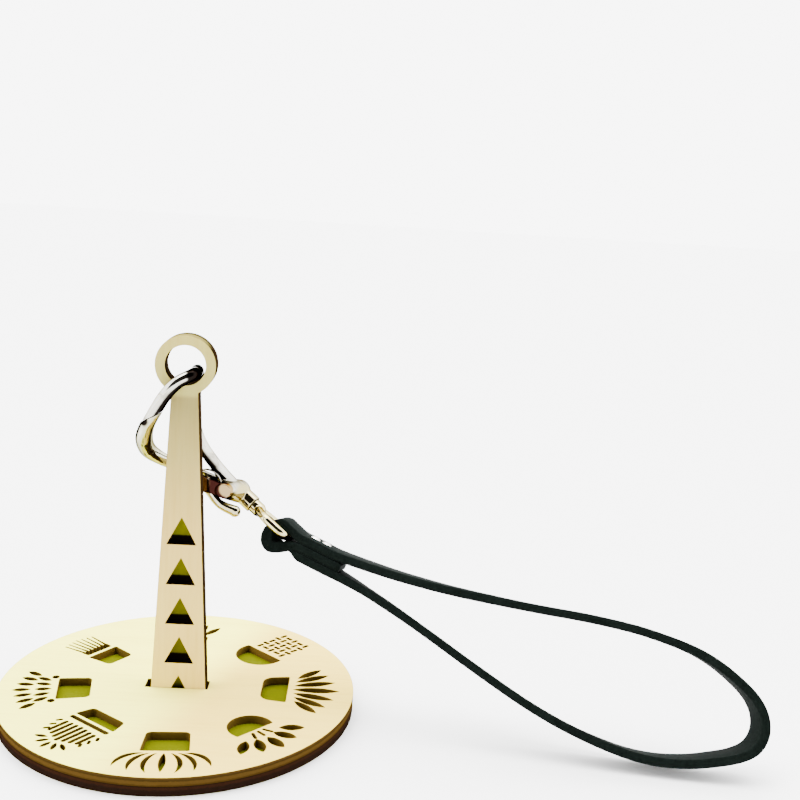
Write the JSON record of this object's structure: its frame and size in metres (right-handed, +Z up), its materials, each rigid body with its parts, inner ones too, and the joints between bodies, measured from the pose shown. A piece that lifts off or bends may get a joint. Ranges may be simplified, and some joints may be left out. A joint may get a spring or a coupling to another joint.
{
  "type": "wrist yarn holder",
  "caption": "Plywood yarn holder: a round base with potted-plant cut-outs, a tapered post with a ring, and a wrist strap clipped to the ring by a swivel snap hook.",
  "frame": {"origin": "middle of the base's underside, on the table", "axes": "+Z up along the post, +X towards the side where the strap lies, +Y away from the front face of the post"},
  "size_m": [0.2634, 0.125, 0.1335],
  "materials": {
    "plywood": "bare birch plywood with burnt laser edges",
    "green_sheet": "matte yellow-green sheet",
    "nickel": "bright nickel plate",
    "strap": "smooth dark green leather"
  },
  "bodies": {
    "holder": {"base_top_plate": "plywood", "base_colour_sheet": "green_sheet", "base_bottom_plate": "plywood", "post_front_panel": "plywood", "post_colour_sheet": "green_sheet", "post_back_panel": "plywood"},
    "hook": {"hook_body": "nickel", "gate_pivot_pin": "nickel", "gate_spring": "nickel"},
    "gate": {"hook_gate": "nickel"},
    "eye": {"swivel_eye": "nickel"},
    "strap": {"strap_band": "strap", "rivet_caps": "nickel", "rivet_posts": "nickel"}
  },
  "joints": [
    {"name": "hook_swing", "type": "hinge", "parent": "holder", "child": "hook", "pos_m": [-0.01, 0, 0.097], "axis": [0, -1, 0], "range_deg": [0, 15]},
    {"name": "gate_open", "type": "hinge", "parent": "hook", "child": "gate", "pos_m": [0.0036, 0.011, 0.0796], "axis": [0, 1, 0], "range_deg": [0, 9], "stiffness_Nm_per_rad": 0.03, "springref_deg": -34.38, "deforming": ["gate_spring"]},
    {"name": "swivel_turn", "type": "hinge", "parent": "hook", "child": "eye", "pos_m": [0.036, 0.01, 0.0603], "axis": [0.7646, -0.3416, -0.5465], "range_deg": [-20, 20]},
    {"name": "strap_lift", "type": "hinge", "parent": "eye", "child": "strap", "pos_m": [0.036, 0.01, 0.0603], "axis": [-0.1471, -0.9181, 0.3681], "range_deg": [0, 70]}
  ]
}
